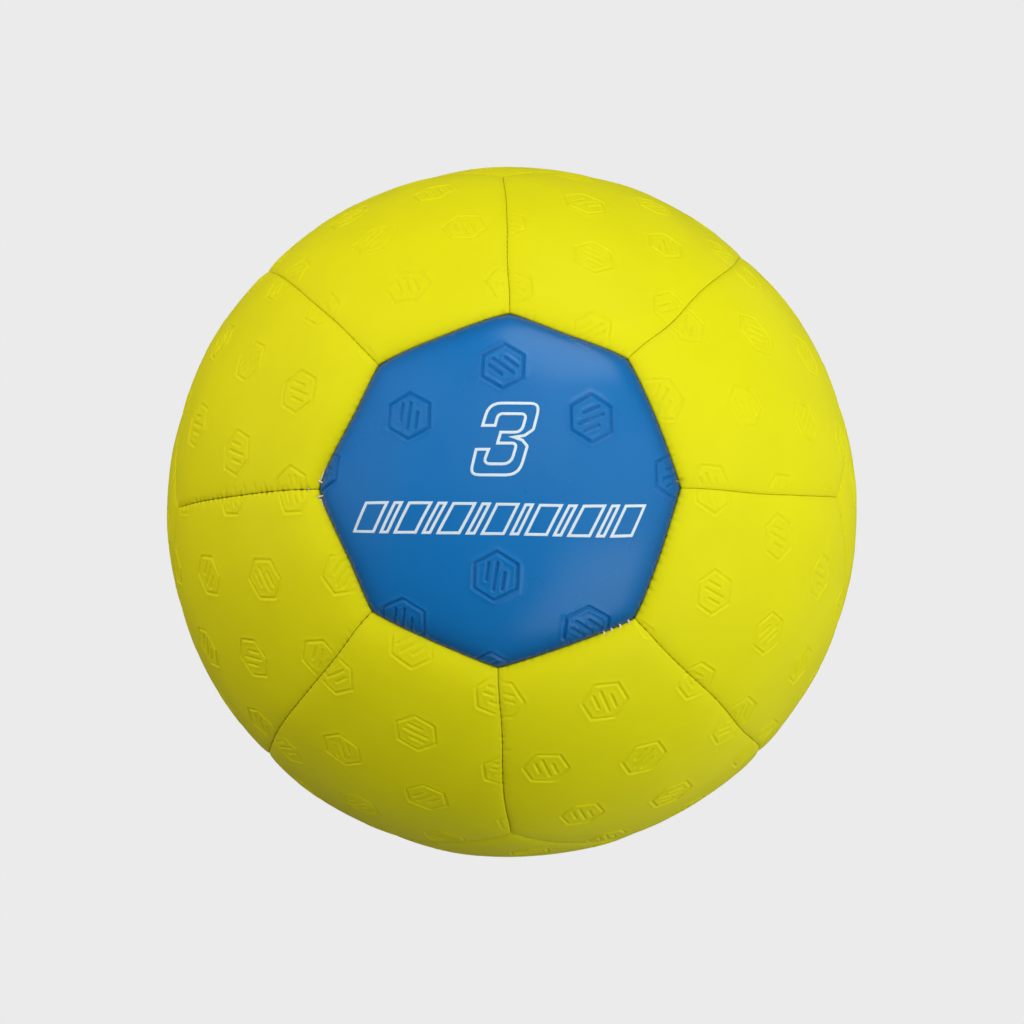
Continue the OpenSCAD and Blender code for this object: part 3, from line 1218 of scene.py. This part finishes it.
def stitchings(sewing: Sewing, shaping: Shaping) -> list[Stitching]:
    """Group the seams as the construction model's thread nodes do.

    Args:
        sewing: All seams.
        shaping: How the skin is moved.

    Returns:
        One stitching for each thread node.
    """
    groups: dict[str, list[Seam]] = {}
    front = direction(0, 0)
    # Half as far from the middle plane as the forks, so it tells them from the corners in that plane
    fork_half = math.sin(math.radians(SQUARE_REACH)) / 2
    for seam in sewing.seams.values():
        low, high = sorted(abs(float(d @ front)) for d in (seam.start, seam.end))
        if low > RIM_COSINE:
            name = "octagon_front" if seam.start @ front > 0 else "octagon_back"
        elif high > RIM_COSINE:
            name = "cardinal" if low > fork_half else "diagonal"
        else:
            name = "squares" if high > fork_half else "equator"
        groups.setdefault(name, []).append(seam)
    return [Stitching(name, seams, shaping) for name, seams in groups.items()]


@dataclass
class Outline:
    """A closed figure of straight sides and rounded corners, in millimetres.

    A corner is given by its place and its radius, and the slant is in degrees.
    """

    corners: tuple[tuple[float, float, float], ...]
    centre: tuple[float, float] = (0.0, 0.0)
    slant: float = 14.0
    steps: int = 5

    def points(self) -> list[tuple[float, float]]:
        """Round the corners, lean the figure and move it to its place.

        Returns:
            The figure's points in order.
        """
        made = []
        count = len(self.corners)
        for k, (x, y, r) in enumerate(self.corners):
            p = np.array([x, y])
            if r == 0:
                made.append(p)
                continue
            before = np.array(self.corners[k - 1][:2]) - p
            after = np.array(self.corners[(k + 1) % count][:2]) - p
            turn = math.acos(float(np.clip(unit(before) @ unit(after), -1, 1)))
            a, b = (p + unit(v) * r / math.tan(turn / 2) for v in (before, after))
            for j in range(self.steps + 1):
                s = j / self.steps
                made.append((1 - s) ** 2 * a + 2 * s * (1 - s) * p + s * s * b)
        lean = math.tan(math.radians(self.slant))
        return [(q[0] + lean * q[1] + self.centre[0], q[1] + self.centre[1]) for q in made]


def numeral_three(centre: tuple[float, float]) -> Outline:
    """Draw the outline of a plain square-shouldered 3.

    Args:
        centre: Its middle on the octagon's flat sheet.

    Returns:
        The outline, 12 mm wide and 17 mm high before it leans.
    """
    w, h, b = 6.0, 8.45, 3.1
    return Outline((
        (-w, h, 3.0), (w, h, 2.6), (w, 1.9, 1.2), (4.3, 0.4, 0), (3.2, 0.2, 0), (4.1, -0.1, 0),
        (w - 0.3, -1.6, 1.0), (w - 0.3, -h, 3.2), (-w, -h, 2.4), (-w, -2.1, 0), (b + 0.4 - w, -2.1, 0),
        (b - w, b - h, 0.9), (w - 0.3 - b, b - h, 1.6), (w - 0.3 - b, -1.35, 0.7), (-1.6, -1.35, 0),
        (-1.6, 1.75, 0), (w - b, 1.75, 1.3), (w - b, h - b, 0.8), (b + 0.2 - w, h - b, 0.8),
        (b + 0.3 - w, 2.65, 0), (-w, 2.65, 0)), centre)


def bar_row(centre: tuple[float, float]) -> list[Outline]:
    """Draw a row of slanted bars, long and short by turns.

    Args:
        centre: The row's middle on the octagon's flat sheet.

    Returns:
        One outline a bar.
    """
    lengths, gap, height, tilt = (5.4, 2.2) * 6 + (5.4,), 1.05, 3.6, -0.012
    x = -(sum(lengths) + gap * (len(lengths) - 1)) / 2
    row = []
    for length in lengths:
        half = length / 2
        at = (centre[0] + x + half, centre[1] + tilt * (x + half))
        corners = ((-half, height, 0), (half, height, 0), (half, -height, 0), (-half, -height, 0))
        row.append(Outline(corners, at, slant=27.0))
        x += length + gap
    return row


@dataclass
class Print:
    """White figures screen-printed on the front octagon, as thin films of ink with open middles.

    Line is the width of their strokes, film their thickness, proud how far they stand above the
    skin, and edge the longest edge of their mesh.
    """

    panel: CoverPanel
    outlines: list[Outline]
    line: float = 0.64
    film: float = 0.07
    proud: float = 0.045
    edge: float = 0.5
    rounds: int = 6

    def make(self, finish: "Finish") -> bpy.types.Object:
        """Make the print.

        Args:
            finish: The ink's finish.

        Returns:
            The print, riding on the ball's body.
        """
        bm = bmesh.new()
        for outline in self.outlines:
            face = bm.faces.new([bm.verts.new((x, y, 0)) for x, y in outline.points()])
            face.normal_update()
            bmesh.ops.inset_region(bm, faces=[face], thickness=self.line, use_boundary=True,
                                   use_even_offset=True)
            bmesh.ops.delete(bm, geom=[face], context="FACES")
        bmesh.ops.triangulate(bm, faces=bm.faces[:])
        bm.verts.layers.int.new("fresh")
        for _ in range(self.rounds):
            long = [e for e in bm.edges if e.calc_length() > self.edge]
            if not long:
                break
            halve(bm, long)
        bmesh.ops.solidify(bm, geom=bm.faces[:], thickness=self.film)
        mesh = to_mesh(bm, "print_front")
        flat = coordinates(mesh)
        height = (flat[:, 2] - flat[:, 2].max()) + self.proud
        angle = np.linalg.norm(flat[:, :2], axis=1, keepdims=True) / BALL_R
        side = np.stack([flat[:, 0], np.zeros(len(flat)), flat[:, 1]], axis=1)
        base = np.cos(angle) * direction(0, 0) + np.sin(angle) * unit(side + 1e-12)
        place_points(mesh, self.panel.above(base, height))
        outward(mesh)
        return add_piece(mesh, finish, [])


def linear(code: str) -> tuple[float, float, float, float]:
    """Turn an sRGB hex colour to linear.

    Args:
        code: Six hex digits after a hash.

    Returns:
        Red, green, blue and an alpha of one.
    """
    channels = [int(code[i:i + 2], 16) / 255 for i in (1, 3, 5)]
    done = [c / 12.92 if c <= 0.04045 else ((c + 0.055) / 1.055) ** 2.4 for c in channels]
    return done[0], done[1], done[2], 1.0


def add_node(tree: bpy.types.NodeTree, kind: str, settings: dict, links: dict) -> bpy.types.Node:
    """Add a node with its settings and links.

    Args:
        tree: Node tree to add to.
        kind: The node's type name.
        settings: Values by attribute name, or by input number or name with a leading "in:".
        links: Output sockets by input number or name.

    Returns:
        The new node.
    """
    node = tree.nodes.new(kind)
    for name, value in settings.items():
        if name.startswith("in:"):
            key = name[3:]
            node.inputs[int(key) if key.isdigit() else key].default_value = value
        else:
            setattr(node, name, value)
    for key, socket in links.items():
        tree.links.new(socket, node.inputs[key])
    return node


@dataclass(frozen=True)
class Finish:
    """One surface finish, with its sizes in millimetres.

    A finish mixes two close colours in soft patches, darkens towards the seams where the piece has them
    (painted shade on the blue skin, dirt on the yellow), and lifts a fine grain.
    """

    name: str
    slot: str
    colour: str
    patch_colour: str
    roughness: float
    grain: float
    grain_height: float
    patch: float = 18.0
    rough_change: float = 0.06
    ior: float = 1.5
    specular: float = 0.5
    seam_dirt_and_shade_colour: str = ""
    seam_dirt_and_shade_share: float = 0.15
    seam_dirt_and_shade_reach: float = 0.64
    weave: bool = False

    def material(self) -> bpy.types.Material:
        """Make the finish's material once, and give it again after that.

        Returns:
            The material.
        """
        made = bpy.data.materials.get(self.name)
        if made is not None:
            return made
        made = bpy.data.materials.new(self.name)
        made.use_nodes = True
        made.diffuse_color = linear(self.colour)
        tree = made.node_tree
        tree.nodes.clear()
        place = add_node(tree, "ShaderNodeTexCoord", {}, {}).outputs["Object"]
        patches = add_node(tree, "ShaderNodeTexNoise", {"in:Scale": 1 / (self.patch * MM), "in:Detail": 3.0},
                           {"Vector": place}).outputs["Fac"]
        soft = add_node(tree, "ShaderNodeMapRange", {"in:From Min": 0.35, "in:From Max": 0.65},
                        {"Value": patches}).outputs["Result"]
        colour = add_node(tree, "ShaderNodeMix", {"data_type": "RGBA", "in:6": linear(self.colour),
                          "in:7": linear(self.patch_colour)}, {0: soft}).outputs[2]
        rough = add_node(tree, "ShaderNodeMapRange", {
            "in:To Min": self.roughness - self.rough_change,
            "in:To Max": self.roughness + self.rough_change}, {"Value": patches}).outputs["Result"]
        # Towards the seams mix in a darker colour: painted shade on the blue skin, dirt on the yellow
        if self.seam_dirt_and_shade_colour:
            near = add_node(tree, "ShaderNodeAttribute", {"attribute_name": "seam_near"}, {}).outputs["Fac"]
            fade = add_node(tree, "ShaderNodeMath", {
                "operation": "POWER", "in:1": SEAM_FADE / self.seam_dirt_and_shade_reach}, {0: near}).outputs[0]
            part = add_node(tree, "ShaderNodeMath", {
                "operation": "MULTIPLY", "in:1": self.seam_dirt_and_shade_share}, {0: fade}).outputs[0]
            colour = add_node(tree, "ShaderNodeMix", {"data_type": "RGBA", "in:7": linear(self.seam_dirt_and_shade_colour)},
                              {0: part, 6: colour}).outputs[2]
        if self.weave:
            height = add_node(tree, "ShaderNodeTexWave", {"in:Scale": 1 / (self.grain * MM * 2 * math.pi),
                              "bands_direction": "DIAGONAL"}, {"Vector": place}).outputs["Fac"]
        else:
            height = add_node(tree, "ShaderNodeTexVoronoi", {"in:Scale": 1 / (self.grain * MM),
                              "feature": "SMOOTH_F1"}, {"Vector": place}).outputs["Distance"]
        bump = add_node(tree, "ShaderNodeBump", {"in:Strength": 1.0, "in:Distance": self.grain_height * MM},
                        {"Height": height}).outputs["Normal"]
        shader = add_node(tree, "ShaderNodeBsdfPrincipled", {
            "in:IOR": self.ior, "in:Specular IOR Level": self.specular},
            {"Base Color": colour, "Roughness": rough, "Normal": bump})
        add_node(tree, "ShaderNodeOutputMaterial", {}, {"Surface": shader.outputs[0]})
        return made


# Polyurethane synthetic leather, calendered smooth: satin, with a wide soft highlight
# The blue's seam colour is painted shade: it turns deep navy towards its seams as in the shade of their
# valleys, while the yellow's is a faint dirt tint
BLUE_SKIN = Finish("blue_pu_leather", "cover_blue", "#1075bc", "#1377be", 0.28, 0.5, 0.008,
                   rough_change=0.03, specular=0.45, seam_dirt_and_shade_colour="#052656", seam_dirt_and_shade_share=0.85,
                   seam_dirt_and_shade_reach=2.0)
YELLOW_SKIN = Finish("yellow_pu_leather", "cover_yellow", "#e7e415", "#eae715", 0.42, 0.5, 0.008,
                     specular=0.06, seam_dirt_and_shade_colour="#b9b40c")
# Screen ink, one thin coat: matt cool white
INK = Finish("white_screen_ink", "", "#e4f4f8", "#dcf0f6", 0.5, 0.3, 0.004, specular=0.3)
# Waxed polyester thread, twisted: pale and dull
THREAD = Finish("waxed_polyester_thread", "thread", "#ece9db", "#dcd8c6", 0.6, 0.25, 0.05)
# Closed-cell EVA foam, split from a block: matt, with small open pores on its cut faces
FOAM = Finish("eva_foam", "foam", "#ebe6d6", "#e2dccb", 0.85, 0.9, 0.12)
# Cotton and polyester cloth, plain woven: dull, with its threads showing
LINING = Finish("woven_polycotton", "lining", "#d8d2c2", "#cdc6b3", 0.9, 0.6, 0.1, weave=True)
# Butyl rubber, moulded: near black, with a faint bloom
BLADDER = Finish("butyl_rubber", "bladder_rubber", "#26262a", "#2e2e33", 0.55, 1.2, 0.03)
# Firmer black rubbers, moulded in polished tools: finer grained than the bladder
VALVE = Finish("valve_rubber_moulded", "valve_rubber", "#1d1d1f", "#252528", 0.5, 0.4, 0.01)
CORE = Finish("core_rubber_moulded", "core_rubber", "#2e2e31", "#37373b", 0.45, 0.4, 0.01)


def add_piece(mesh: bpy.types.Mesh, finish: Finish, nodes: list[str]) -> bpy.types.Object:
    """Put a finished mesh on the ball.

    Args:
        mesh: The piece's mesh, in metres in the ball's frame.
        finish: Its finish.
        nodes: The construction nodes that it stands for.

    Returns:
        The piece's object.
    """
    piece = bpy.data.objects.new(mesh.name, mesh)
    bpy.context.scene.collection.objects.link(piece)
    mesh.materials.clear()
    mesh.materials.append(finish.material())
    mesh.shade_smooth()
    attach(piece, BODY)
    if nodes:
        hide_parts(*nodes)
    LOG.info("piece %s: %d triangles", piece.name, len(mesh.polygons))
    return piece


def dress(node: str, finish: Finish) -> None:
    """Give a construction node that the scene keeps its finish.

    Args:
        node: The node's name.
        finish: Its finish.
    """
    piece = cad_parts[node]
    piece.data.materials.clear()
    piece.data.materials.append(finish.material())
    LOG.info("node %s dressed as %s", node, finish.name)


@dataclass(frozen=True)
class Softbox:
    """A soft rectangular lamp that faces the ball, with its power in watts and its sizes in metres.

    The skin mirrors it only where sheen is true.
    """

    name: str
    at: tuple[float, float, float]
    width: float
    height: float
    power: float
    tint: tuple[float, float, float] = (1.0, 1.0, 1.0)
    sheen: bool = False

    def stand(self) -> None:
        """Stand the lamp in its place."""
        data = bpy.data.lights.new(self.name, "AREA")
        data.shape = "RECTANGLE"
        data.size = self.width
        data.size_y = self.height
        data.energy = self.power
        data.color = self.tint
        lamp = bpy.data.objects.new(self.name, data)
        lamp.visible_glossy = self.sheen
        bpy.context.scene.collection.objects.link(lamp)
        at = Vector(self.at)
        lamp.matrix_world = Matrix.Translation(at) @ at.to_track_quat("Z", "Y").to_matrix().to_4x4()


SOFTBOXES = (
    Softbox("right_window", (1.15, -0.64, -0.08), 1.8, 1.8, 12.8),
    Softbox("left_fill", (-1.13, -0.48, 0.5), 1.9, 1.9, 15.4, (1.0, 0.92, 1.0)),
    Softbox("front_fill", (0.1, -1.17, 0.45), 0.9, 0.9, 4.9),
    Softbox("white_backdrop", (0.3, 1.27, -0.1), 3.0, 3.0, 30.0),
    Softbox("overhead_softbox", (0.35, -0.48, 1.04), 0.75, 0.8, 3.7, sheen=True),
    Softbox("low_softbox", (0.6, -0.79, -0.67), 0.9, 0.9, 2.4, sheen=True))


@dataclass
class Studio:
    """Plain pale ground, soft lights and the camera of the photograph.

    The camera's angles are in degrees, and its distance, focal length and sensor in millimetres.
    The room's radius is in metres.
    """

    ground: str = "#ebebeb"
    room: float = 8.0
    azimuth: float = 1.25
    elevation: float = -3.5
    roll: float = 0.47
    distance: float = 516.5
    focal: float = 65.69
    sensor: float = 36.0
    ambient: float = 0.05

    def build(self) -> None:
        """Make the camera, the ground, the ambient light and the lamps."""
        bpy.context.scene.view_settings.view_transform = "Standard"
        bpy.context.scene.view_settings.look = "None"
        self._camera()
        self._ground()
        self._ambient()
        for softbox in SOFTBOXES:
            softbox.stand()

    def _camera(self) -> None:
        """Stand the camera where the photograph was taken."""
        a, e = math.radians(self.azimuth), math.radians(self.elevation)
        back = Vector((math.sin(a) * math.cos(e), -math.cos(a) * math.cos(e), math.sin(e)))
        data = bpy.data.cameras.new("photo_camera")
        data.lens, data.sensor_width = self.focal, self.sensor
        data.clip_start, data.clip_end = 0.01, 50.0
        camera = bpy.data.objects.new("photo_camera", data)
        bpy.context.scene.collection.objects.link(camera)
        turn = (-back).to_track_quat("-Z", "Y").to_matrix().to_4x4()
        roll = Matrix.Rotation(math.radians(self.roll), 4, "Z")
        camera.matrix_world = Matrix.Translation(back * self.distance * MM) @ turn @ roll
        bpy.context.scene.camera = camera

    def _ground(self) -> None:
        """Make the pale floor and the backdrop, which only the camera sees."""
        material = bpy.data.materials.new("pale_paper")
        material.use_nodes = True
        tree = material.node_tree
        tree.nodes.clear()
        glow = add_node(tree, "ShaderNodeEmission", {"in:Color": linear(self.ground)}, {})
        add_node(tree, "ShaderNodeOutputMaterial", {}, {"Surface": glow.outputs[0]})
        floor = bmesh.new()
        bmesh.ops.create_circle(floor, cap_ends=True, segments=64, radius=self.room,
                                matrix=Matrix.Translation((0, 0, -BALL_R * MM)))
        dome = bmesh.new()
        bmesh.ops.create_uvsphere(dome, u_segments=48, v_segments=24, radius=self.room)
        for name, bm in (("floor", floor), ("backdrop", dome)):
            mesh = to_mesh(bm, name)
            mesh.materials.append(material)
            piece = bpy.data.objects.new(name, mesh)
            bpy.context.scene.collection.objects.link(piece)
            piece.visible_diffuse = piece.visible_glossy = piece.visible_shadow = False
            piece.visible_transmission = False

    def _ambient(self) -> None:
        """Light the room evenly."""
        world = bpy.data.worlds.new("room")
        bpy.context.scene.world = world
        world.use_nodes = True
        light = world.node_tree.nodes["Background"]
        light.inputs["Color"].default_value = (1, 1, 1, 1)
        light.inputs["Strength"].default_value = self.ambient


# Finish of each construction node that the scene keeps, by the start of its name
INSIDE = (("foam", FOAM), ("lining", LINING), ("bladder", BLADDER), ("valve_body", VALVE),
          ("valve_core", CORE))


def main() -> None:
    """Build the ball's pieces in order."""
    logging.basicConfig(level=logging.INFO, format="%(message)s")
    Studio().build()
    places = all_places()
    shaping, sewing = Shaping(), Sewing(places)
    forms: dict[tuple, PanelForm] = {}
    for place in places:
        key = (place.kind, place.variant)
        if key not in forms:
            forms[key] = PanelForm(*key)
        blue = place.kind in (PanelKind.OCTAGON, PanelKind.VALVE_OCTAGON)
        shape = OCTAGON_SHAPE if blue else {}
        CoverPanel(place, forms[key], sewing, shaping, **shape).make(BLUE_SKIN if blue else YELLOW_SKIN)
    for stitching in stitchings(sewing, shaping):
        stitching.make(THREAD)
    front = CoverPanel(places[0], forms[(PanelKind.OCTAGON, 0)], sewing, shaping, **OCTAGON_SHAPE)
    Print(front, [numeral_three((0.3, 10.6)), *bar_row((-0.6, -7.3))]).make(INK)
    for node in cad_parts:
        for start, finish in INSIDE:
            if node.startswith(start):
                dress(node, finish)


if __name__ == "__main__":
    main()
